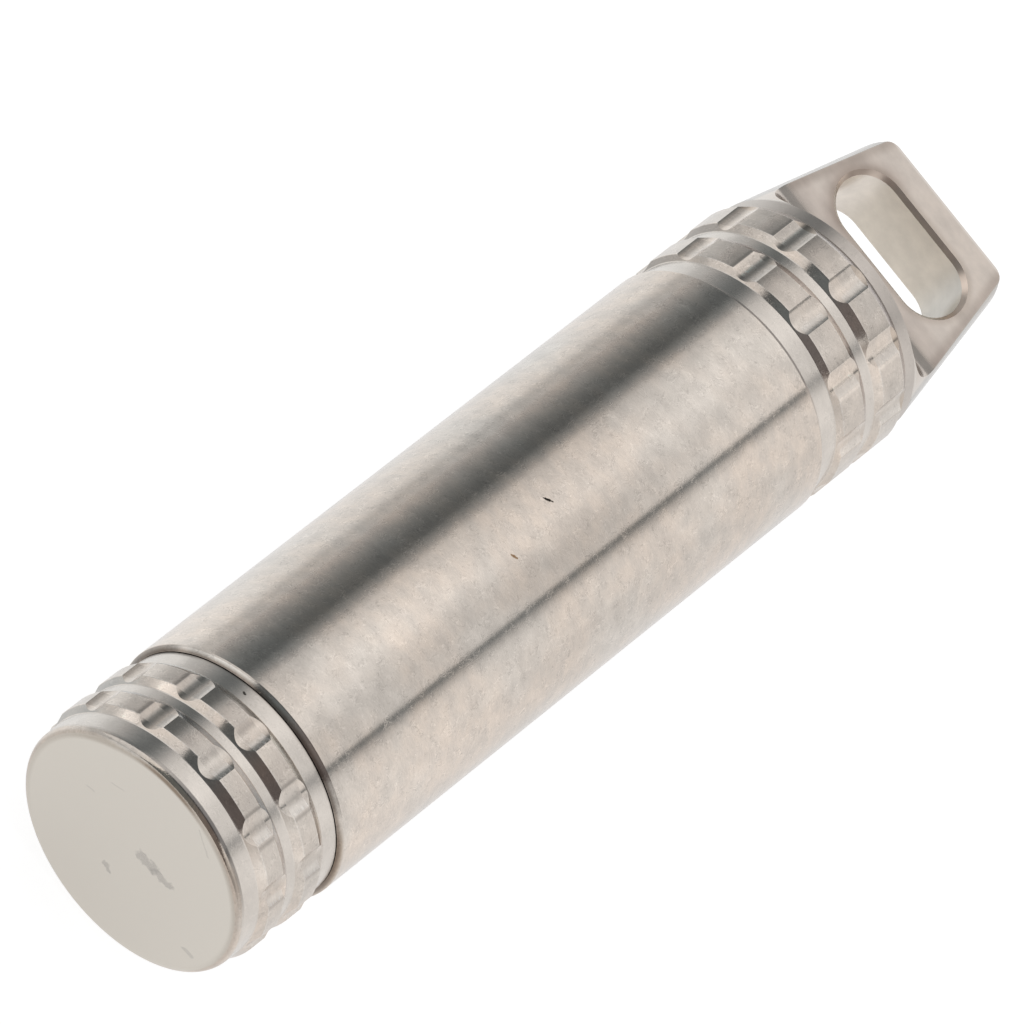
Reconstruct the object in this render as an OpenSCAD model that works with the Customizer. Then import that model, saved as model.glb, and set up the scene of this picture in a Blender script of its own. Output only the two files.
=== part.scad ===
// Pill fob: a slim turned tube with a flattened lug, closed by a threaded cap with an O-ring.
// Each sub-part is drawn upright on the Z axis, from the cap's flat end at 0 to the tip of the lug.
// It is then laid on its side, with the lug towards +X and the flats of the lug level.

/* [Tube] */
// Outside diameter of the tube and of the grip ridges
tube_d = 16; // [15.4:0.1:20]
// Length of the plain tube, from its mouth to the head
barrel_l = 40.76; // [25:0.01:90]
// Chamfer round the outside of the mouth
mouth_chamfer = 0.29; // [0.1:0.01:0.3]
// Diameter of the pill chamber
chamber_d = 12.2; // [10:0.1:12.4]
// Metal between the edge of the chamber's floor and the wall where the lug's flats start
chamber_floor = 7.4; // [4:0.1:12]
// Angle between the drilled floor and a flat one
floor_angle = 20; // [10:1:30]

/* [Grip ridges] */
// Depth of the turned bands between the ridges
band_depth = 0.32; // [0.25:0.01:0.45]
// Axial length of a ridge's sloping side
ridge_slope = 0.55; // [0.4:0.05:0.8]
// Number of flutes round a ridge
flute_count = 12; // [6:1:14]
// Width of a flute across the top of a ridge
flute_w = 1.85; // [1.2:0.05:1.9]
// Depth of a flute below the top of a ridge
flute_depth = 0.25; // [0.15:0.01:0.25]

/* [Cap] */
// Radius of the cap's outer edge
cap_edge_r = 0.45; // [0.2:0.05:0.8]
// Band between the cap's flat end and its first ridge, with the edge radius
cap_front_band = 1.55; // [1:0.05:4]
// Length along the top of each ridge on the cap
cap_ridge_l = 1.2; // [0.8:0.1:3]
// Band between the cap's two ridges
cap_mid_band = 0.6; // [0.4:0.05:2]
// Band between the cap's second ridge and the seam
cap_back_band = 1.05; // [0.6:0.05:3]
// Turn of the cap's flutes towards +Y against those of the head, with the cap screwed home
cap_clock = 5.6; // [0:0.1:29]
// Open seam between the cap and the mouth of the tube
seam_gap = 0.06; // [0.05:0.01:0.3]

/* [Head and lug] */
// Axial length of the steeper slopes of the first band on the head
lead_slope = 0.38; // [0.3:0.01:0.6]
// First band on the head
head_front_band = 1.22; // [0.8:0.01:3]
// Length along the top of each ridge on the head
head_ridge_l = 1.8; // [1:0.1:3]
// Band between the head's two ridges
head_mid_band = 0.65; // [0.4:0.05:2]
// Band between the last ridge and the tapered lug
neck_band = 0.9; // [0.5:0.05:2]
// Length of the tapered lug, from the neck band to its tip
lug_l = 10.7; // [10.4:0.1:14]
// Angle of the taper to the axis
lug_taper = 10.7; // [8:0.1:12]
// Radius round the tip
tip_r = 0.75; // [0.3:0.05:1.2]
// Thickness of the lug between its milled flats
lug_t = 5.2; // [4:0.1:6]
// Radius that the milling cutter leaves where a flat runs out
flat_runout_r = 3.4; // [3:0.1:4]
// Distance from the last ridge's foot to the wall left by the cutter
flat_wall = 0.8; // [0.5:0.05:1.2]

/* [Ring slot] */
// Width of the slot along the lug
slot_w = 4.4; // [4.2:0.05:4.6]
// Length of the slot across the lug
slot_l = 9.6; // [8:0.1:9.6]
// Chamfer round the slot on both flats
slot_chamfer = 0.26; // [0.1:0.01:0.35]
// Wall between the slot and the tip
tip_wall = 2.08; // [1.5:0.01:3]

/* [Thread and seal] */
// Diameter over the crests of the cap's thread, which is cut into the tube
thread_major_d = 13.6; // [13:0.1:13.7]
// Diameter at the roots of the cap's thread
thread_minor_d = 12.5; // [12.5:0.1:12.7]
// Length of the cap's plug below its shoulder
plug_l = 8.4; // [7:0.1:10]
// Length of the tube's thread beyond the end of the plug
thread_runout = 1; // [0.5:0.1:3]
// Diameter of the hollow in the plug
plug_hollow_d = 9.8; // [8:0.1:10.4]
// Thickness of the cap's end over the hollow
cap_end_t = 5.2; // [3:0.1:6]
// Diameter of the smooth bore that the O-ring seals against
seal_bore_d = 13.8; // [13.7:0.1:14]
// Length of the plug's land above the O-ring
upper_land = 1.15; // [0.8:0.05:1.6]
// Length of the plug's land below the O-ring
lower_land = 0.75; // [0.5:0.05:1.2]
// Width of the O-ring's groove
groove_w = 1.35; // [1.2:0.05:1.6]
// Thickness of the O-ring, squeezed between its groove and the seal bore
seal_t = 0.95; // [0.8:0.01:1.1]
// Radial clearance between the plug and the tube, and on each side of the O-ring
fit_gap = 0.05; // [0.02:0.01:0.08]
// Chamfer on the plug's end and inside the mouth
lead_in = 0.35; // [0.2:0.05:0.4]

/* [Hidden] */
$fn = 96;
steel_grey = [0.79, 0.77, 0.73];
seal_black = [0.08, 0.08, 0.08];
over = 1; // how far a cutter passes the surface that it opens

tube_r = tube_d / 2;
band_r = tube_r - band_depth;

// Places along the axis, each from the one before
cap_ridge_1 = cap_front_band;
cap_ridge_span = cap_ridge_l + 2 * ridge_slope;
cap_ridge_2 = cap_ridge_1 + cap_ridge_span + cap_mid_band;
shoulder = cap_ridge_2 + cap_ridge_span + cap_back_band;
mouth = shoulder + seam_gap;
head = mouth + barrel_l;
head_ridge_1 = head + lead_slope + head_front_band;
head_ridge_1_end = head_ridge_1 + lead_slope + head_ridge_l + ridge_slope;
head_ridge_2 = head_ridge_1_end + head_mid_band;
neck = head_ridge_2 + head_ridge_l + 2 * ridge_slope;
taper = neck + neck_band;
tip = taper + lug_l;
tip_end_r = band_r - lug_l * tan(lug_taper);
tip_flat_r = tip_end_r + tip_r * (tan(lug_taper) - 1 / cos(lug_taper));

// Plug, from the shoulder down
seal_groove = shoulder + upper_land;
seal_groove_end = seal_groove + groove_w;
plug_thread = seal_groove_end + lower_land;
plug_end = shoulder + plug_l;
plug_r = seal_bore_d / 2 - fit_gap;
plug_core_r = thread_minor_d / 2 - fit_gap;
groove_r = seal_bore_d / 2 - seal_t - 2 * fit_gap;

// Bore, from the mouth down
body_thread = plug_thread + seam_gap + fit_gap;
body_thread_end = plug_end + thread_runout;
wall_at = neck + flat_wall;
chamber_end = wall_at - chamber_floor;
floor_h = chamber_d / 2 * tan(floor_angle);

// Ring slot
slot_centre = tip - tip_wall - slot_w / 2;
slot_reach = (slot_l - slot_w) / 2;

// A flute is the hollow left by a round cutter that runs along the tube
flute_r = (pow(flute_w / 2, 2) + pow(flute_depth, 2)) / (2 * flute_depth);

// Corners of one ridge, from the foot of its first slope to the foot of its second
function ridge(start, slope_in, top_l, slope_out) = [
    [band_r, start],
    [tube_r, start + slope_in],
    [tube_r, start + slope_in + top_l],
    [band_r, start + slope_in + top_l + slope_out]
];

// Lays an upright sub-part on its side, centred over the origin with the tube's underside at Z = 0
module lay_down() {
    translate([-tip / 2, 0, tube_r])
        rotate([0, 90, 0])
            children();
}

// Round cutters for the flutes, which pass over both ridges of a grip between two of its bands
module flute_cutters(from, to) {
    for (i = [0 : flute_count - 1])
        rotate([0, 0, 360 / flute_count * i])
            translate([tube_r - flute_depth + flute_r, 0, from])
                cylinder(r = flute_r, h = to - from);
}

// Outside of the tube, head and lug before the flats are milled
module body_blank() {
    rotate_extrude() {
        polygon(concat(
            [
                [0, mouth],
                [tube_r - mouth_chamfer, mouth],
                [tube_r, mouth + mouth_chamfer],
                [tube_r, head],
                [band_r, head + lead_slope]
            ],
            ridge(head_ridge_1, lead_slope, head_ridge_l, ridge_slope),
            ridge(head_ridge_2, ridge_slope, head_ridge_l, ridge_slope),
            [
                [band_r, taper],
                [tip_flat_r + tip_r * cos(lug_taper), tip - tip_r + tip_r * sin(lug_taper)],
                [tip_flat_r, tip],
                [0, tip]
            ]
        ));
        translate([tip_flat_r, tip - tip_r])
            circle(r = tip_r);
    }
}

// Seal bore, thread bore and pill chamber, with a drilled floor
module body_bore() {
    rotate_extrude()
        polygon([
            [0, mouth - over],
            [seal_bore_d / 2 + lead_in + over, mouth - over],
            [seal_bore_d / 2, mouth + lead_in],
            [seal_bore_d / 2, body_thread],
            [thread_major_d / 2, body_thread],
            [thread_major_d / 2, body_thread_end],
            [chamber_d / 2, body_thread_end + (thread_major_d - chamber_d) / 2],
            [chamber_d / 2, chamber_end],
            [0, chamber_end + floor_h]
        ]);
}

// What the milling cutter takes off one side of the lug: a round nose with the open space beyond it
module flat_cutter() {
    nose = wall_at + flat_runout_r;
    reach = tip + over - nose;
    translate([lug_t / 2 + flat_runout_r, 0, nose])
        rotate([90, 0, 0])
            cylinder(r = flat_runout_r, h = tube_d + 2 * over, center = true);
    translate([lug_t / 2, -tube_r - over, nose])
        cube([tube_r + over, tube_d + 2 * over, reach]);
    translate([lug_t / 2 + flat_runout_r, -tube_r - over, wall_at])
        cube([tube_r + over, tube_d + 2 * over, flat_runout_r + reach]);
}

// The ring slot with full-round ends, cut along X through the lug, and its chamfers
module slot_cutter() {
    depth = lug_t + 2 * over;
    flare = slot_chamfer + over;
    translate([0, 0, slot_centre]) {
        cube([depth, 2 * slot_reach, slot_w], center = true);
        for (side = [-1, 1])
            translate([0, side * slot_reach, 0]) {
                rotate([0, 90, 0])
                    cylinder(d = slot_w, h = depth, center = true);
                for (face = [-1, 1])
                    translate([face * (lug_t / 2 + over), 0, 0])
                        rotate([0, -90 * face, 0])
                            cylinder(r1 = slot_w / 2 + flare, r2 = slot_w / 2, h = flare);
            }
        for (face = [-1, 1])
            translate([face * (lug_t / 2 - slot_chamfer), 0, 0])
                rotate([90, 0, 0])
                    linear_extrude(height = 2 * slot_reach, center = true)
                        polygon([
                            [0, -slot_w / 2],
                            [face * flare, -slot_w / 2 - flare],
                            [face * flare, slot_w / 2 + flare],
                            [0, slot_w / 2]
                        ]);
    }
}

// Tube, head, neck and lug, turned from one bar
module tube_body() {
    color(steel_grey)
        lay_down()
            difference() {
                body_blank();
                body_bore();
                flute_cutters(head_ridge_1 - head_front_band / 2, taper);
                for (turn = [0, 180])
                    rotate([0, 0, turn])
                        flat_cutter();
                slot_cutter();
            }
}

// Cap with its fluted grip, and the hollow plug that carries the O-ring and the thread
module screw_cap() {
    color(steel_grey)
        lay_down()
            difference() {
                rotate_extrude() {
                    polygon(concat(
                        [
                            [0, 0],
                            [band_r - cap_edge_r, 0],
                            [band_r, cap_edge_r]
                        ],
                        ridge(cap_ridge_1, ridge_slope, cap_ridge_l, ridge_slope),
                        ridge(cap_ridge_2, ridge_slope, cap_ridge_l, ridge_slope),
                        [
                            [band_r, shoulder],
                            [plug_r, shoulder],
                            [plug_r, seal_groove],
                            [groove_r, seal_groove],
                            [groove_r, seal_groove_end],
                            [plug_r, seal_groove_end],
                            [plug_r, plug_thread],
                            [plug_core_r, plug_thread],
                            [plug_core_r, plug_end - lead_in],
                            [plug_core_r - lead_in, plug_end],
                            [0, plug_end]
                        ]
                    ));
                    translate([band_r - cap_edge_r, cap_edge_r])
                        circle(r = cap_edge_r);
                }
                translate([0, 0, cap_end_t])
                    cylinder(d = plug_hollow_d, h = plug_end - cap_end_t + over);
                rotate([0, 0, -cap_clock])
                    flute_cutters(cap_front_band / 2, shoulder - cap_back_band / 2);
            }
}

// O-ring in its groove on the plug
module seal_ring() {
    color(seal_black)
        lay_down()
            rotate_extrude()
                translate([(groove_r + seal_bore_d / 2) / 2, (seal_groove + seal_groove_end) / 2])
                    circle(d = seal_t);
}

tube_body();
screw_cap();
seal_ring();
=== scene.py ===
import math

import bmesh
import bpy
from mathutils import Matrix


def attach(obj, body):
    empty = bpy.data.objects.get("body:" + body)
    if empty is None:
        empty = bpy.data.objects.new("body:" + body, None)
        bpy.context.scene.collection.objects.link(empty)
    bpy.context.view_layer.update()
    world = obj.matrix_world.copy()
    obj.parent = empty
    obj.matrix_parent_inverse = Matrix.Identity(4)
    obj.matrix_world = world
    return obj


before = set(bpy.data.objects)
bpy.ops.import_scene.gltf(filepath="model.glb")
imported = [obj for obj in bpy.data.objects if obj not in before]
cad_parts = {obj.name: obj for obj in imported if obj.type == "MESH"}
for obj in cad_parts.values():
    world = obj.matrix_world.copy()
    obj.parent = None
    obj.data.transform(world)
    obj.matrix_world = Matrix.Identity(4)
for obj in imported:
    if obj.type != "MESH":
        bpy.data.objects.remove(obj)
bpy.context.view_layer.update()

MM = 0.001

# Sizes of the fob, in millimetres, as in its CAD. Places along the axis are from its middle: the cap's
# face, the tube's mouth, the end of the plain barrel, the neck, the milled wall, the lug and its tip.
AXIS_HEIGHT = 8.0
TUBE_R = 8.0
BAND_R = 7.68
PLUG_CORE_R = 6.2
THREAD_BORE_R = 6.8
FACE_X = -34.05
MOUTH_X = -26.19
HEAD_X = 14.57
NECK_X = 22.45
WALL_X = 23.25
LUG_X = 23.35
TIP_X = 34.05
LUG_TAPER = math.tan(math.radians(10.7))
SLOT_X = 29.77
SLOT_R = 2.2
SLOT_HALF = 2.6

# Grip: where the fluted ridges of the cap and of the head start and end, the middle of the gap between
# the head's two, the flutes round a ridge, and how far the cap's are turned, in degrees
CAP_LANDS = ((-31.95, -30.75), (-29.05, -27.85))
HEAD_LANDS = ((16.55, 18.35), (20.10, 21.90))
MID_GAP = (19.0, 19.4)
FLUTES = 12
CAP_CLOCK = 5.6

# Thread: ridges of 60 degrees on the plug and in the bore, half a pitch apart
PITCH = 1.0
FLANK_ANGLE = 30
THREAD_HEIGHT = 0.52
CREST_HALF = 0.075
ROOT_SINK = 0.03
RUN_IN_TURNS = 0.35
STEPS_PER_TURN = 72
PLUG_THREAD = (-22.55, -18.65)
BORE_THREAD = (-22.05, -17.30)

# Colours of the metal, and of what lies on it
METAL = (0.636, 0.565, 0.503, 1)
METAL_WARM = (0.632, 0.550, 0.480, 1)
METAL_COOL = (0.605, 0.555, 0.505, 1)
METAL_LAND = (0.556, 0.505, 0.457, 1)
METAL_BAND = (0.665, 0.615, 0.565, 1)
METAL_MILLED = (0.585, 0.520, 0.468, 1)
METAL_FACED = (0.668, 0.625, 0.564, 1)
# Also laid as painted highlight on one side of each flute, along the ridges' edges and at the lug's tip, and
# as the bright chatter ticks
METAL_BRIGHT = (0.740, 0.700, 0.655, 1)
SLOT_WALL = (0.680, 0.623, 0.544, 1)
# Painted light for the slot's +Y end wall
SLOT_END_PAINTED_LIGHT = (0.790, 0.727, 0.660, 1)
# Painted highlight for the slot's chamfer
SLOT_CHAMFER_HIGHLIGHT = (0.940, 0.910, 0.880, 1)
WHITE = (1, 1, 1, 1)
SMEAR = (0.440, 0.415, 0.385, 1)
SPECK = (0.030, 0.026, 0.022, 1)
RUST = (0.240, 0.135, 0.060, 1)

# Painted shade along the seam between cap and tube: what it leaves of the colour under it
SEAM_SHADE = (0.44, 0.40, 0.37, 1)


class Value:
    """A number, vector or colour in a node tree. Python's operators on numbers add Math nodes."""

    def __init__(self, nodes, socket):
        self.nodes, self.socket = nodes, socket

    def maths(self, operation, *others):
        return self.nodes.maths(operation, self, *others)

    def __add__(self, other):
        return self.maths("ADD", other)

    __radd__ = __add__

    def __sub__(self, other):
        return self.maths("SUBTRACT", other)

    def __rsub__(self, other):
        return self.nodes.maths("SUBTRACT", other, self)

    def __mul__(self, other):
        return self.maths("MULTIPLY", other)

    __rmul__ = __mul__

    def __truediv__(self, other):
        return self.maths("DIVIDE", other)

    def __pow__(self, power):
        return self.maths("POWER", power)

    def __abs__(self):
        return self.maths("ABSOLUTE")

    def step(self, start, end):
        """0 before start and 1 past end, with a smooth rise between them; start may be the larger."""
        settings = {"interpolation_type": "SMOOTHSTEP"}
        values = {"Value": self, "From Min": start, "From Max": end}
        return self.nodes.add("ShaderNodeMapRange", settings, values, "Result")

    def near(self, centre, reach):
        """1 at centre, falling to 0 at that distance from it."""
        return abs(self - centre).step(reach, 0.0)

    def within(self, start, end, soft):
        """1 between start and end, with soft edges inside them."""
        return self.step(start, start + soft) * self.step(end, end - soft)


def grey(level):
    return level, level, level, 1


def set_stops(ramp, stops):
    """Grey levels along a ramp, each as (position, level)."""
    while len(ramp.elements) < len(stops):
        ramp.elements.new(0.5)
    for element, (position, level) in zip(ramp.elements, stops):
        element.position = position
        element.color = grey(level)


class Nodes:
    """Adds nodes to one tree, which it empties first."""

    def __init__(self, tree):
        self.tree = tree
        tree.nodes.clear()

    def add(self, kind, settings=None, values=None, output=0):
        """One node: its settings first, then the values or links of its sockets."""
        node = self.tree.nodes.new(kind)
        for name, value in (settings or {}).items():
            if name == "stops":
                set_stops(node.color_ramp, value)
            else:
                setattr(node, name, value)
        for name, value in (values or {}).items():
            if isinstance(value, Value):
                self.tree.links.new(value.socket, node.inputs[name])
            else:
                node.inputs[name].default_value = value
        return Value(self, node.outputs[output]) if node.outputs else None

    def maths(self, operation, *values):
        return self.add("ShaderNodeMath", {"operation": operation}, dict(enumerate(values)))

    def vector(self, operation, first, second, output=0):
        return self.add("ShaderNodeVectorMath", {"operation": operation}, {0: first, 1: second}, output)

    def split(self, vector):
        node = self.add("ShaderNodeSeparateXYZ", None, {0: vector}).socket.node
        return [Value(self, node.outputs[i]) for i in range(3)]

    def join(self, x, y, z):
        return self.add("ShaderNodeCombineXYZ", None, {0: x, 1: y, 2: z})

    def blend(self, share, first, second):
        """A mix of two colours."""
        return self.add("ShaderNodeMix", {"data_type": "RGBA"}, {0: share, 6: first, 7: second}, 2)

    def laid(self, colour, layers):
        """The colour with other colours laid over it in turn, each as (share, colour)."""
        for share, layer in layers:
            colour = self.blend(share, colour, layer)
        return colour

    def tinted(self, colour, tints):
        """The colour multiplied in turn by tints, each as (share, tint)."""
        for share, tint in tints:
            colour = self.vector("MULTIPLY", colour, self.blend(share, WHITE, tint))
        return colour

    def scaled(self, colour, level):
        """The colour multiplied by one level."""
        return self.vector("MULTIPLY", colour, self.join(level, level, level))

    def bump(self, strength, height):
        """The normal over a height in millimetres."""
        values = {"Strength": strength, "Distance": MM, "Height": height}
        return self.add("ShaderNodeBump", None, values, "Normal")

    def lines(self, along, per_mm, detail=2.0):
        """Uneven lines across one direction, from 0 to 1."""
        values = {"W": along * per_mm, "Scale": 1.0, "Detail": detail, "Roughness": 0.6}
        return self.add("ShaderNodeTexNoise", {"noise_dimensions": "1D"}, values)

    def clouds(self, place, per_mm, detail=3.0, swirl=0.0):
        """Soft patches in space, from 0 to 1."""
        values = {"Vector": place, "Scale": per_mm, "Detail": detail}
        values.update({"Roughness": 0.55, "Distortion": swirl})
        return self.add("ShaderNodeTexNoise", {"noise_dimensions": "3D"}, values)

    def dash(self, place, start, end, width):
        """1 on a short straight mark from start to end, fading over half its width."""
        run = [b - a for a, b in zip(start, end)]
        reach = sum(v * v for v in run)
        share = self.vector("DOT_PRODUCT", self.vector("SUBTRACT", place, start), run, 1) / reach
        share = share.maths("MINIMUM", 1.0).maths("MAXIMUM", 0.0)
        nearest = self.vector("MULTIPLY", self.join(share, share, share), run)
        away = self.vector("DISTANCE", place, self.vector("ADD", nearest, start), 1)
        return away.step(width, width * 0.5)


def new_material(name):
    material = bpy.data.materials.new(name)
    material.use_nodes = True
    return material, Nodes(material.node_tree)


def finish_material(nodes, values):
    shader = nodes.add("ShaderNodeBsdfPrincipled", None, values)
    nodes.add("ShaderNodeOutputMaterial", None, {"Surface": shader})


def place_in_mm(nodes):
    place = nodes.add("ShaderNodeTexCoord", None, None, "Object")
    return nodes.vector("MULTIPLY", place, (1 / MM,) * 3)


def add_object(name, data):
    thing = bpy.data.objects.new(name, data)
    bpy.context.collection.objects.link(thing)
    return thing


class Spot:
    """A point of the turned metal: its place in millimetres, the surface it is on, and the patterns there."""

    def __init__(self, nodes, lands, clock):
        n = self.nodes = nodes
        self.place = place_in_mm(n)
        self.x, self.y, z = n.split(self.place)
        self.up = z - AXIS_HEIGHT
        self.radius = (self.y * self.y + self.up * self.up) ** 0.5
        self.girth = n.maths("ARCTAN2", self.y, self.up) * (180 / math.pi)
        self.facing_x, _, self.facing_z = n.split(n.add("ShaderNodeTexCoord", None, None, "Normal"))
        self.find_surfaces(lands, clock)
        self.find_patterns()

    def find_surfaces(self, lands, clock):
        """Masks of the grip's surfaces. Slopes lead up to a ridge or away from it, towards the lug."""
        x, radius = self.x, self.radius
        self.turned = (1 - x.step(WALL_X, WALL_X + 0.03)) * (1 - abs(self.facing_x).step(0.90, 0.97))
        self.lands = sum(x.within(start - 0.02, end + 0.02, 0.04) for start, end in lands)
        self.land_tops = self.lands * radius.step(TUBE_R - 0.03, TUBE_R - 0.01)
        self.flutes = self.lands - self.land_tops
        self.in_flute = (self.girth - clock).maths("WRAP", 180 / FLUTES, -180 / FLUTES)
        self.bands = radius.within(BAND_R - 0.03, BAND_R + 0.03, 0.01) * (1 - self.lands)
        slopes = radius.within(BAND_R + 0.02, TUBE_R - 0.02, 0.02) * (1 - self.lands)
        self.lead = slopes * self.facing_x.step(-0.25, -0.45)
        self.away = slopes * self.facing_x.step(0.20, 0.40)
        rims = sum(x.near(start, 0.10) + x.near(end, 0.10) for start, end in lands)
        self.rims = rims * radius.step(TUBE_R - 0.06, TUBE_R - 0.01)

    def find_patterns(self):
        """Haze, patches, grain and hairs from 0 to 1, and lint and dots on both sides of 0."""
        n, place = self.nodes, self.place
        self.haze = n.clouds(place, 0.16)
        self.patches = n.clouds(n.join(self.x, self.y * 0.6, self.up * 0.6), 1.1, 4.0)
        self.grain = n.clouds(place, 9.0)
        self.hairs = n.clouds(n.join(self.x * 11.0, self.y * 3.0, self.up * 3.0), 1.0, 4.0, 1.6)
        # Patches of wear, where the lint lies
        wear_and_painted_light = n.clouds(place, 1.7).step(0.46, 0.60)
        light = abs(n.clouds(place, 1.5, 3.0, 1.4) - 0.5).step(0.035, 0.0)
        beside = n.vector("ADD", place, (7, 3, 5))
        dark = abs(n.clouds(beside, 1.7, 3.0, 1.4) - 0.5).step(0.040, 0.0)
        self.lint = (light - dark) * wear_and_painted_light * self.turned
        dots = n.clouds(place, 6.0, 1.0)
        self.dots = (dots.step(0.74, 0.80) - dots.step(0.26, 0.20)) * self.turned

    def wear_and_painted_light(self, colour, places):
        """Painted light and shade: the colour made lighter or darker at places round the girth, each as
        (share, degrees round, reach, level).
        """
        tints = [(share * self.girth.near(at, reach), grey(level)) for share, at, reach, level in places]
        return self.nodes.tinted(colour, tints)


def tone_lug(spot, colour):
    """The milled lug and its slot: flats, walls, grime round the slot, painted light and shade on the
    chamfers, the slot's +Y end, the plate's edges, the run-outs and the round sides, a painted highlight at
    the tip, and the roughness they add.
    """
    n, x, y = spot.nodes, spot.x, spot.y
    upright = abs(spot.facing_z)
    from_edge = BAND_R - LUG_TAPER * (x - LUG_X) - spot.radius
    past_end = (abs(y) - SLOT_HALF).maths("MAXIMUM", 0.0)
    from_slot = (past_end * past_end + (x - SLOT_X) ** 2.0) ** 0.5 - SLOT_R

    on_lug = x.step(WALL_X, WALL_X + 0.03)
    milled = on_lug * from_edge.step(0.01, 0.05)
    round_side = on_lug * (1 - milled) * abs(spot.up).step(3.2, 2.6)
    plate = milled * upright.step(0.97, 0.995)
    wall = milled * upright.step(0.55, 0.25) * x.step(TIP_X - 0.1, TIP_X - 0.4)
    by_slot = x.step(SLOT_X - 3.0, SLOT_X - 2.7)
    run_out = milled * (1 - plate) * (1 - by_slot)
    chamfer = milled * upright.within(0.5, 0.9, 0.1) * by_slot
    dark_chamfer = chamfer * y.step(3.5, 4.7) * x.step(SLOT_X - 0.6, SLOT_X + 0.6)

    layers = (
        (milled * (0.35 + spot.haze * 0.9), METAL_MILLED),
        (wall, SLOT_WALL),
        # Painted light on the slot's +Y end, lighter than its wall
        (wall * y.step(2.2, 4.2), SLOT_END_PAINTED_LIGHT),
    )
    colour = n.laid(colour, layers)
    colour = n.scaled(colour, (spot.patches - 0.5) * 0.5 * milled + 1)
    tints = (
        (wall * y.step(-2.2, -4.2), (0.92, 0.97, 1.03, 1)),
        (plate * from_slot.step(0.75, 0.25), (0.84, 0.82, 0.80, 1)),
        (plate * from_slot.step(1.40, 0.25) * y.step(1.2, 3.4), (0.76, 0.73, 0.72, 1)),
        # Painted shade along the plate's edges, towards the run-outs, and in the run-outs
        (plate * from_edge.step(0.75, 0.15), (0.76, 0.74, 0.73, 1)),
        (plate * x.step(SLOT_X - 1.9, SLOT_X - 2.6), (0.87, 0.86, 0.86, 1)),
        (run_out * y.near(2.2, 1.5), (0.58, 0.58, 0.57, 1)),
        # Painted shade on the chamfer at the slot's +Y end, and painted light on the rest of it
        (dark_chamfer, (0.54, 0.49, 0.46, 1)),
        (chamfer - dark_chamfer, (1.42, 1.35, 1.30, 1)),
    )
    colour = n.tinted(colour, tints)
    layers = (
        # Painted highlight on the chamfer at the slot's end towards the head, and along the plate's tip
        (chamfer * x.step(SLOT_X - 0.5, SLOT_X - 1.7), SLOT_CHAMFER_HIGHLIGHT),
        (plate * x.step(TIP_X - 0.20, TIP_X - 0.06) * 0.6, METAL_BRIGHT),
    )
    colour = n.laid(colour, layers)
    # Painted shade, cooler, on the lug's round sides
    colour = n.tinted(colour, [(round_side, (0.68, 0.70, 0.72, 1))])
    return colour, milled * (1 - run_out * 0.8) * (0.16 + spot.patches * 0.10)


# Where the barrel is made lighter or darker: place along the axis and its reach,
# degrees round the girth and their reach, and the gain
BARREL_GAINS = (
    (-21.0, 15.0, -55.0, 25.0, 0.17),
    (12.5, 14.0, -18.0, 20.0, 0.21),
    (-5.0, 10.0, -16.0, 11.0, -0.10),
    (-17.5, 9.0, 10.0, 20.0, 0.12),
    (12.5, 9.0, 10.0, 12.0, 0.10),
    (-24.0, 7.0, 60.0, 30.0, 0.12),
)


def tone_barrel(spot, colour):
    """The plain barrel, lighter or darker in patches."""
    x, girth = spot.x, spot.girth
    gain = sum(
        x.near(x_at, x_reach) * girth.near(girth_at, girth_reach) * amount
        for x_at, x_reach, girth_at, girth_reach, amount in BARREL_GAINS
    )
    return spot.nodes.scaled(colour, gain * x.step(HEAD_X + 0.2, HEAD_X) + 1)


def tone_head(spot, colour, neck):
    """Painted shade in the neck, and painted light and shade on the slopes, flutes and land tops of the
    head's two ridges.
    """
    x, girth = spot.x, spot.girth
    second = x.step(*MID_GAP)
    tints = (
        # Painted shade in the neck, and darker and warmer just before it
        (neck, (0.84, 0.83, 0.83, 1)),
        (x.within(NECK_X - 0.55, NECK_X, 0.02), (0.86, 0.82, 0.78, 1)),
        # Painted light on the leading slopes from -26 to 17 degrees round, painted shade on them past 60
        # degrees and in a stripe on the second ridge
        (spot.lead * girth.within(-26.0, 17.0, 8.0), (1.34, 1.40, 1.42, 1)),
        (spot.lead * girth.step(57.0, 64.0), (0.56, 0.57, 0.58, 1)),
        (spot.lead * second * girth.near(-25.5, 6.0), (0.50, 0.49, 0.48, 1)),
    )
    colour = spot.nodes.tinted(colour, tints)
    # Painted light and shade in stripes round the girth, on the flutes and land tops
    places = (
        (spot.flutes, -31.2, 1.7, 1.50),
        (spot.flutes, 31.4, 2.4, 1.66),
        (spot.flutes * second, 36.0, 3.5, 0.70),
        (spot.flutes, 62.5, 5.0, 0.81),
        (spot.land_tops, -36.6, 1.8, 1.20),
        (spot.land_tops, 23.0, 2.6, 0.87),
        (spot.land_tops, 36.9, 1.8, 0.74),
        (spot.land_tops * (1 - second), -15.0, 12.0, 1.14),
        (spot.land_tops * second, 15.0, 12.0, 0.88),
    )
    return spot.wear_and_painted_light(colour, places)


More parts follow.
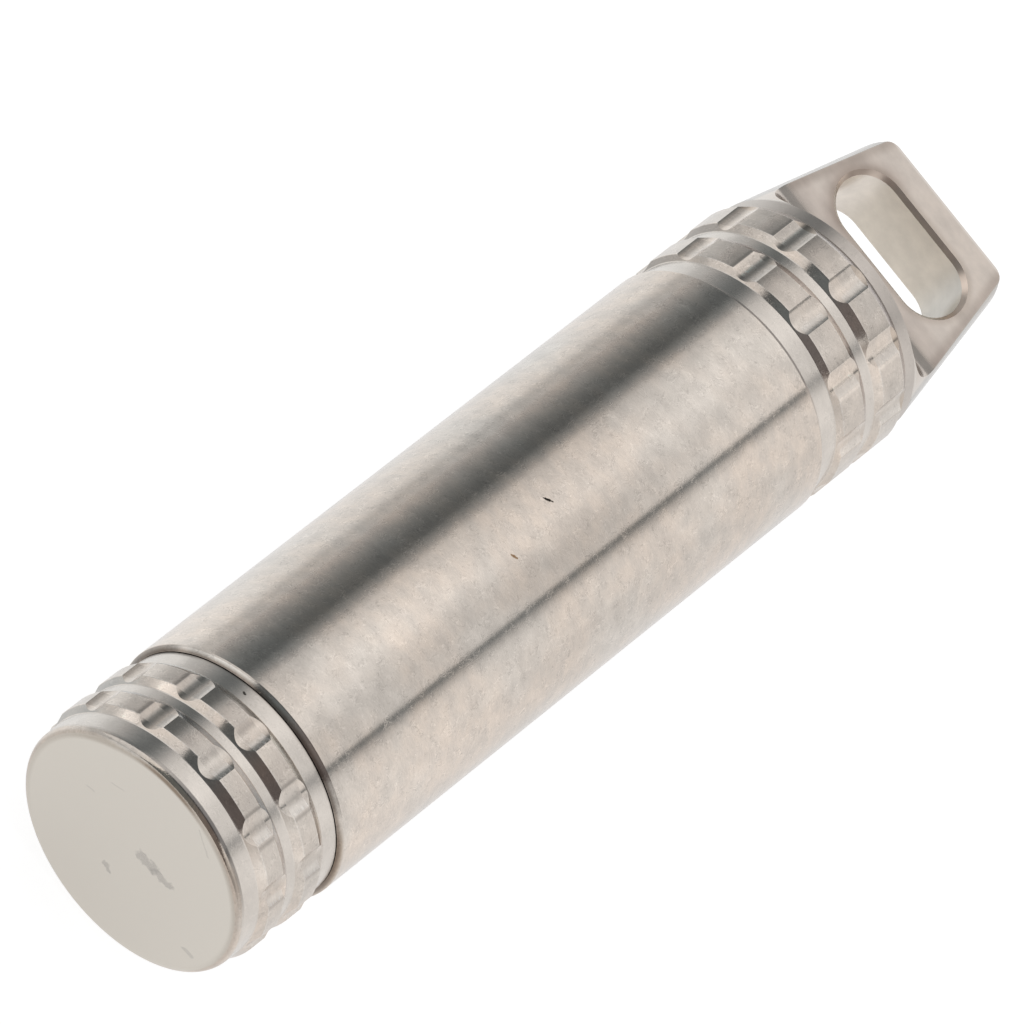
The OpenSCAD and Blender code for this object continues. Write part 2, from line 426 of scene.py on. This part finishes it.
def tone_mouth(spot, colour):
    """The tube's chamfered mouth: painted shade at the seam, painted shade on the low side and a painted
    highlight on the high one.
    """
    x, girth = spot.x, spot.girth
    low_side = girth.step(-42.0, -60.0) + girth.step(60.0, 72.0) * 0.6
    high_side = girth.near(38.0, 27.0)
    tints = (
        # Painted shade along the seam, on the tube's side
        (x.near(MOUTH_X + 0.04, 0.17) * (0.65 + spot.grain * 0.5), SEAM_SHADE),
        # Painted shade on the chamfer's low side, and a painted highlight on its high side
        (low_side * x.step(MOUTH_X + 0.30, MOUTH_X + 0.16), (0.62, 0.57, 0.52, 1)),
        (x.within(MOUTH_X + 0.04, MOUTH_X + 0.24, 0.04) * high_side, (1.38, 1.44, 1.48, 1)),
    )
    return spot.nodes.tinted(colour, tints)


def tone_tube(spot, colour, roughness):
    """The tube's tones, with their painted light and shade, from the lug to the mouth."""
    neck = spot.x.within(NECK_X, WALL_X + 0.02, 0.02)
    colour, milled_roughness = tone_lug(spot, colour)
    colour = tone_barrel(spot, colour)
    colour = tone_head(spot, colour, neck)
    colour = tone_mouth(spot, colour)
    return colour, roughness + milled_roughness + neck * 0.12


def tone_end(spot, colour):
    """The cap's faced end, with brown painted shade on its rounded edge, a painted highlight inside that edge
    and painted shadows outside it.
    """
    n, x, girth = spot.nodes, spot.x, spot.girth
    faced = spot.facing_x.step(-0.90, -0.97) * x.step(FACE_X + 1.0, FACE_X + 0.5)
    colour = n.blend(faced, colour, METAL_FACED)

    # Brown painted shade on the rounded edge, darkest where it faces up and near 10 degrees round, mottled by
    # the grain
    turned_up = (spot.up * 0.97 + spot.y * 0.24) / spot.radius
    most = girth.near(10.0, 24.0) * 0.6
    edge_shade = (0.14 + turned_up * 0.20 + most).maths("MAXIMUM", 0.0) * (0.75 + spot.grain * 0.5)
    edge_shade = edge_shade * (spot.radius + girth.near(42.0, 32.0) * 0.15).step(7.00, 7.35)
    edge_shade = edge_shade * (x + girth.within(-34.0, 56.0, 18.0) * 0.10).step(FACE_X + 0.20, FACE_X + 0.08)

    # A painted highlight on the round next to the face, and painted shadows further along it
    glow = x.within(FACE_X + 0.03, FACE_X + 0.25, 0.05) * girth.near(-4.0, 40.0)
    shadow = x.within(FACE_X + 0.21, FACE_X + 0.52, 0.09) * girth.near(-8.0, 40.0) * 1.15
    low_shadow = x.within(FACE_X + 0.09, FACE_X + 0.50, 0.08) * girth.near(-39.0, 24.0)
    tints = (
        (edge_shade * 1.6, (0.42, 0.36, 0.31, 1)),
        (glow, (1.45, 1.38, 1.25, 1)),
        (shadow, (0.32, 0.32, 0.33, 1)),
        (low_shadow, (0.56, 0.55, 0.54, 1)),
    )
    return n.tinted(colour, tints)


def tone_cap(spot, colour, roughness):
    """The cap's tones: its end, painted shade at its seam, and painted light and shade on its slopes, flutes
    and land tops.
    """
    x, girth = spot.x, spot.girth
    seam = x.near(MOUTH_X - 0.04, 0.16) * (0.35 + spot.grain * 0.5)
    last_away = x.step(CAP_LANDS[1][1] - 0.15, CAP_LANDS[1][1] - 0.05)
    tints = (
        # Painted shade along the seam, on the cap's side
        (seam * (1 - girth.near(-62.0, 35.0) * 0.8), SEAM_SHADE),
        # More painted shade by the seam from about 50 degrees round
        (x.near(MOUTH_X - 0.10, 0.22) * girth.step(44.0, 56.0), (0.42, 0.41, 0.40, 1)),
        # Painted light and shade on the slopes: leading slopes darker round -26 degrees and past 60, slopes
        # towards the lug lighter, the last one most, and cooler above -20 degrees
        (spot.lead * girth.near(-26.0, 12.0), (0.72, 0.71, 0.70, 1)),
        (spot.away, (1.15, 1.15, 1.13, 1)),
        (spot.away * last_away, (1.38, 1.38, 1.35, 1)),
        (spot.away * girth.step(-45.0, -20.0), (0.90, 1.0, 1.07, 1)),
        (spot.lead * girth.step(56.0, 66.0), (0.67, 0.71, 0.74, 1)),
    )
    colour = spot.nodes.tinted(tone_end(spot, colour), tints)
    # Painted light and shade in stripes round the girth, on the flutes, land tops, lands and slopes
    places = (
        (spot.flutes, -27.8, 2.2, 1.10),
        (spot.flutes, 1.9, 1.8, 1.28),
        (spot.flutes, 9.0, 3.0, 0.80),
        (spot.flutes, 32.0, 2.4, 0.81),
        (spot.flutes, 38.4, 2.4, 1.52),
        (spot.flutes, 68.5, 3.0, 0.86),
        (spot.land_tops, 58.5, 6.5, 1.14),
        (spot.land_tops, 21.5, 3.5, 1.20),
        (spot.lands, -60.6, 2.0, 0.82),
        (spot.lands, -31.7, 1.6, 0.72),
        (spot.lands, -17.9, 1.5, 0.68),
        (spot.lands, 42.5, 2.0, 0.58),
        (spot.lands, 70.2, 1.5, 0.84),
        (spot.lead, 48.0, 11.0, 1.48),
        (spot.away, -33.0, 12.0, 1.28),
        (spot.away, 10.0, 9.0, 0.77),
    )
    return spot.wear_and_painted_light(colour, places), roughness


def metal_colour(spot, ticks):
    """The metal's patches of colour, with painted highlights on one side of each flute and along the ridges'
    edges, where there is also wear, bright chatter ticks and a cooler painted reflection on slopes towards
    the lug, under hairs, lint and dots.
    """
    n, patches = spot.nodes, spot.patches
    colour = n.blend(patches.step(0.38, 0.64), METAL, METAL_WARM)
    layers = (
        (spot.haze.step(0.42, 0.68), METAL_COOL),
        (spot.land_tops * (0.35 + patches * 0.5), METAL_LAND),
        (spot.bands * 0.9, METAL_BAND),
        # Painted highlight on one side of each flute
        (spot.flutes * spot.in_flute.step(-1.0, -3.4) * 0.45, METAL_BRIGHT),
        # Lighter along the ridges' edges: wear and painted highlight
        (spot.rims * spot.grain.step(0.35, 0.6) * 0.5, METAL_BRIGHT),
        (ticks * 0.9, METAL_BRIGHT),
    )
    colour = n.laid(colour, layers)
    # Cooler painted reflection on the slopes towards the lug
    colour = n.tinted(colour, [(spot.away, (0.94, 0.97, 1.06, 1))])
    shade = (spot.hairs - 0.5) * 0.42 + (patches - 0.5) * 0.52 + spot.lint * 0.17 + spot.dots * 0.18
    return n.scaled(colour, shade * (0.12 + spot.turned * 0.88) * (1 - spot.bands * 0.5) + 1)


def add_marks(spot, colour, roughness, marks):
    """Small ragged marks, each as (from, to, half-width, tone, strength)."""
    n = spot.nodes
    drift = n.add("ShaderNodeTexNoise", None, {"Vector": spot.place, "Scale": 3.0}, 1)
    drift = n.vector("SUBTRACT", drift, (0.5, 0.5, 0.5))
    for start, end, width, tone, strength in marks:
        ragged = n.vector("ADD", spot.place, n.vector("MULTIPLY", drift, (width * 2.0,) * 3))
        mark = n.dash(ragged, start, end, width) * (0.55 + spot.grain * 0.9).maths("MINIMUM", 1.0)
        mark = mark * strength
        colour = n.blend(mark, colour, tone)
        roughness = roughness + mark * 0.25
    return colour, roughness


def turned_metal(name, lands, clock, flute_dull, tick_share, marks, own_tones):
    """Satin titanium off the lathe: fine rings, fibrous handling haze, and duller milled flats and flutes."""
    material, n = new_material(name)
    spot = Spot(n, lands, clock)

    across = spot.x + spot.radius * spot.turned
    coarse, middle, fine = [n.lines(across, per_mm) for per_mm in (2.2, 7.0, 26.0)]
    ticks = n.lines(spot.x, 6.0, 1.0).step(0.48, 0.60) * spot.flutes
    ticks = ticks * spot.in_flute.within(-6.9, -4.2, 0.6) * tick_share
    height = coarse * 0.0008 + middle * 0.0008 + fine * 0.0008 + spot.grain * 0.0005
    height = height + spot.hairs * 0.0016 * spot.turned + ticks * 0.007
    height = height + spot.patches * 0.0010 + spot.lint * 0.0007

    roughness = 0.075 + middle * 0.02 + spot.haze * 0.03 + spot.hairs * 0.03
    roughness = roughness + spot.flutes * (spot.girth.step(-12.0, -20.0) * 0.07 + flute_dull)
    roughness = roughness + spot.land_tops * 0.05 + spot.bands * 0.09
    colour, roughness = own_tones(spot, metal_colour(spot, ticks), roughness)
    colour, roughness = add_marks(spot, colour, roughness, marks)
    values = {"Base Color": colour, "Roughness": roughness, "Normal": n.bump(1.0, height), "Metallic": 1.0}
    finish_material(n, values)
    return material


def seal_rubber():
    """Black nitrile with the faint grain and dust of a greased seal."""
    material, n = new_material("seal rubber")
    place = place_in_mm(n)
    height = n.clouds(place, 6.0) * 0.004
    dust = n.clouds(place, 1.1).step(0.5, 0.75)
    colour = n.blend(dust * 0.5, (0.012, 0.012, 0.013, 1), (0.045, 0.042, 0.040, 1))
    values = {"Base Color": colour, "Roughness": 0.38 + dust * 0.2, "Normal": n.bump(0.8, height)}
    finish_material(n, values)
    return material


# Small marks: from, to, half-width, tone and strength
TUBE_MARKS = (
    ((-4.34, 1.10, 15.92), (-4.02, 0.62, 15.98), 0.055, SPECK, 0.9),
    ((-4.27, 1.00, 15.93), (-4.14, 0.80, 15.96), 0.095, SPECK, 1.0),
    ((-8.37, -0.27, 16.00), (-8.20, -0.58, 15.98), 0.085, RUST, 0.9),
)
CAP_MARKS = (
    ((-26.80, 2.68, 15.19), (-26.74, 2.79, 15.16), 0.085, SPECK, 0.9),
    ((FACE_X, -0.55, 8.72), (FACE_X, -1.45, 8.86), 0.52, SMEAR, 0.62),
    ((FACE_X, -1.55, 8.72), (FACE_X, -2.70, 8.98), 0.36, SMEAR, 0.62),
    ((FACE_X, 0.38, 5.42), (FACE_X, 0.02, 5.27), 0.26, SMEAR, 0.62),
    ((FACE_X, -5.75, 6.20), (FACE_X, -6.30, 6.32), 0.24, SMEAR, 0.4),
    ((FACE_X, 4.15, 8.88), (FACE_X, 3.69, 9.07), 0.09, SMEAR, 0.25),
    ((FACE_X, 3.43, 10.92), (FACE_X, 2.70, 11.36), 0.07, SMEAR, 0.25),
    ((FACE_X, -1.45, 14.73), (FACE_X, -2.86, 13.71), 0.08, SMEAR, 0.3),
)


def dress(node, material):
    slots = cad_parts[node].data.materials
    slots.clear()
    slots.append(material)


tube_metal = turned_metal("tube metal", HEAD_LANDS, 0.0, 0.03, 0.2, TUBE_MARKS, tone_tube)
cap_metal = turned_metal("cap metal", CAP_LANDS, CAP_CLOCK, 0.12, 1.0, CAP_MARKS, tone_cap)
dress("tube_body", tube_metal)
dress("screw_cap", cap_metal)
dress("seal_ring", seal_rubber())


def thread_tree(material):
    """A ridge wound round the axis, bent from a flat grid: rows along the helix, columns round the ridge."""
    tree = bpy.data.node_groups.new("thread ridge", "GeometryNodeTree")
    n = Nodes(tree)
    widths = ("Crest half width", "Flank width")
    names = ("Start", "Turns", "Pitch", "Root radius", "Crest radius", *widths, "Phase")
    for name in names:
        tree.interface.new_socket(name, in_out="INPUT", socket_type="NodeSocketFloat")
    tree.interface.new_socket("Steps", in_out="INPUT", socket_type="NodeSocketInt")
    tree.interface.new_socket("Geometry", in_out="OUTPUT", socket_type="NodeSocketGeometry")
    given = n.add("NodeGroupInput").socket.node
    size = {name: Value(n, given.outputs[name]) for name in names + ("Steps",)}

    corners = 5
    grid = n.add("GeometryNodeMeshGrid", None, {0: 1.0, 1: 1.0, 2: size["Steps"], 3: corners})
    along, round_ridge, _ = n.split(n.add("GeometryNodeInputPosition"))
    turns = (along + 0.5) * size["Turns"]
    corner = (round_ridge + 0.5) * (corners - 1)
    at_crest = abs(corner - 1.5).maths("LESS_THAN", 1.0)
    side = abs(corner - 2.5).maths("LESS_THAN", 1.0) * 2 - 1
    grown = turns.step(0.0, RUN_IN_TURNS) * (size["Turns"] - turns).step(0.0, RUN_IN_TURNS)

    half_width = size["Crest half width"] + size["Flank width"] * (1 - at_crest)
    x = size["Start"] + turns * size["Pitch"] + side * half_width * grown
    radius = size["Root radius"] + (size["Crest radius"] - size["Root radius"]) * at_crest * grown
    angle = (turns + size["Phase"]) * (2 * math.pi)
    y = radius * angle.maths("COSINE")
    z = radius * angle.maths("SINE") + AXIS_HEIGHT * MM
    wound = n.add("GeometryNodeSetPosition", None, {"Geometry": grid, "Position": n.join(x, y, z)})
    closed = n.add("GeometryNodeMergeByDistance", None, {"Geometry": wound, "Distance": 0.001 * MM})
    real = n.add("GeometryNodeRealizeInstances", None, {"Geometry": closed})
    coated = n.add("GeometryNodeSetMaterial", None, {"Geometry": real, "Material": material})
    n.add("NodeGroupOutput", None, {"Geometry": coated})
    return tree


def wind_thread(name, tree, sizes):
    """The tree's ridge at these sizes, as a plain closed mesh."""
    former = add_object(name + " former", bpy.data.meshes.new(name + " former"))
    modifier = former.modifiers.new("thread", "NODES")
    modifier.node_group = tree
    for item in tree.interface.items_tree:
        if item.in_out == "INPUT":
            modifier[item.identifier] = sizes[item.name]
    shown = former.evaluated_get(bpy.context.evaluated_depsgraph_get())
    mesh = bpy.data.meshes.new_from_object(shown)
    mesh.name = name
    former.modifiers.remove(modifier)
    bpy.data.objects.remove(former)

    form = bmesh.new()
    form.from_mesh(mesh)
    bmesh.ops.recalc_face_normals(form, faces=form.faces)
    form.to_mesh(mesh)
    form.free()
    mesh.shade_smooth()
    mesh.set_sharp_from_angle(angle=math.radians(25))
    return mesh


def build_thread(name, body, material, span, root, crest):
    """One thread that rides on its body. Root and crest are radii in millimetres."""
    start, end = span
    turns = (end - start) / PITCH
    sink = math.copysign(ROOT_SINK, root - crest)
    flank = (abs(crest - root) + ROOT_SINK) * math.tan(math.radians(FLANK_ANGLE))
    sizes = {
        "Start": start * MM,
        "Turns": turns,
        "Pitch": PITCH * MM,
        "Root radius": (root + sink) * MM,
        "Crest radius": crest * MM,
        "Crest half width": CREST_HALF * MM,
        "Flank width": flank * MM,
        "Phase": (start - PLUG_THREAD[0]) / PITCH % 1 + (0.5 if body == "tube" else 0.0),
        "Steps": round(turns * STEPS_PER_TURN) + 1,
    }
    piece = add_object(name, wind_thread(name, thread_tree(material), sizes))
    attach(piece, body)


plug_crest = PLUG_CORE_R + THREAD_HEIGHT
bore_crest = THREAD_BORE_R - THREAD_HEIGHT
build_thread("plug_thread", "cap", cap_metal, PLUG_THREAD, PLUG_CORE_R, plug_crest)
build_thread("bore_thread", "tube", tube_metal, BORE_THREAD, THREAD_BORE_R, bore_crest)


# What a level metal tube shows round its girth: degrees from straight up, towards +Y, and the light's
# level there. Then the level at the room's far end, past the lug, and of the wall behind the camera.
ROOM = (
    (-66, 1.02), (-60, 0.98), (-56, 0.86), (-50, 0.52), (-47, 0.22), (-44.2, 0.17), (-43.2, 0.88),
    (-30, 0.88), (-23, 0.85), (-11, 0.97), (1, 1.12), (9, 1.08), (25, 0.95), (33, 0.84), (38, 0.77),
    (42.5, 0.49), (46, 0.36), (54, 0.15), (61, 0.17), (70, 0.25), (80, 0.40), (90, 0.60),
)
FAR_END_LEVEL = 0.42
WALL_LEVEL = 0.14

# Tints of the room's dark parts
COOL = (0.90, 1.0, 1.05, 1)
WARM = (1.13, 1.0, 0.985, 1)


def build_world():
    """A studio: the room's levels ahead, and a dark wall with a light at each side behind the camera."""
    world = bpy.data.worlds.new("studio")
    world.use_nodes = True
    bpy.context.scene.world = world
    n = Nodes(world.node_tree)
    x, y, z = n.split(n.add("ShaderNodeTexCoord", None, None, "Generated"))
    turn = n.maths("ARCTAN2", y, z) * (0.5 / math.pi) + 0.5
    stops = [(0.5 + angle / 360, level) for angle, level in ROOM]
    girth = n.add("ShaderNodeValToRGB", {"stops": stops}, {"Fac": turn})
    girth = girth + (FAR_END_LEVEL - girth) * x.step(0.78, 0.90)

    nearer = x.step(-0.75, -0.2)
    left = y.step(-0.585, -0.60) * (0.45 + 0.55 * nearer)
    right = y.step(0.46, 0.50) * (0.72 + 0.15 * nearer)
    behind = WALL_LEVEL + left + right
    ahead = x.step(-0.25, -0.05)
    level = behind + (girth - behind) * ahead
    dark = n.blend(ahead, n.blend(y.step(-0.25, 0.20), WARM, COOL), COOL)
    tint = n.blend(level.step(0.1, 0.6), dark, WHITE)

    room = n.add("ShaderNodeBackground", None, {"Color": tint, "Strength": level})
    white = n.add("ShaderNodeBackground", None, {"Color": WHITE, "Strength": 1.0})
    seen = n.add("ShaderNodeLightPath", None, None, "Is Camera Ray")
    mixed = n.add("ShaderNodeMixShader", None, {0: seen, 1: room, 2: white})
    n.add("ShaderNodeOutputWorld", None, {"Surface": mixed})


# Floor: half its side and how far it lies below the fob, in metres, and the glow that the camera sees
FLOOR_HALF = 3.0
FLOOR_DROP = 0.00002
FLOOR_GLOW = 0.84


def build_floor():
    """A white floor, which keeps the fob's soft shadow. It glows evenly for the camera; in the metal's
    reflections its glow is painted light, brighter and cooler past 8 mm at +Y, dimming again from 18 to 80
    mm, and a little dimmer near 10 mm at -Y.
    """
    mesh = bpy.data.meshes.new("floor")
    ends = ((-1, -1), (1, -1), (1, 1), (-1, 1))
    mesh.from_pydata([(a * FLOOR_HALF, b * FLOOR_HALF, -FLOOR_DROP) for a, b in ends], [], [(0, 1, 2, 3)])
    floor = add_object("floor", mesh)
    material, n = new_material("floor paper")
    paper = n.add("ShaderNodeBsdfDiffuse", None, {"Color": grey(0.4)})
    _, y, _ = n.split(place_in_mm(n))
    camera = n.add("ShaderNodeLightPath", None, None, "Is Camera Ray")
    glossy = Value(n, camera.socket.node.outputs["Is Glossy Ray"])
    # Painted light: the floor's glow in the metal's reflections, set by the distance along y
    beside = y.step(8.0, 17.0)
    falling = 0.70 + 0.12 * beside - 0.41 * y.step(18.0, 80.0)
    falling = falling - 0.06 * y.step(-15.0, -10.0) * y.step(-8.0, -10.0)
    tint = n.blend(glossy * beside, WHITE, (0.965, 1.0, 1.02, 1))
    strength = camera * FLOOR_GLOW + glossy * falling
    glow = n.add("ShaderNodeEmission", None, {"Color": tint, "Strength": strength})
    both = n.add("ShaderNodeAddShader", None, {0: paper, 1: glow})
    n.add("ShaderNodeOutputMaterial", None, {"Surface": both})
    mesh.materials.append(material)


# Camera: a long lens and its sensor in millimetres, its place in metres and its turn in degrees
LENS = 333.016
SENSOR = 36
CAMERA_PLACE = (-0.300158, -0.006688, 0.433738)
CAMERA_TURN = (24.33391, -26.12588, -44.15592)


def build_camera():
    data = bpy.data.cameras.new("camera")
    data.sensor_width = SENSOR
    data.lens = LENS
    data.clip_start, data.clip_end = 0.01, 20
    camera = add_object("camera", data)
    camera.location = CAMERA_PLACE
    camera.rotation_euler = [math.radians(turn) for turn in CAMERA_TURN]
    bpy.context.scene.camera = camera


build_world()
build_floor()
build_camera()
bpy.context.scene.view_settings.view_transform = "Standard"
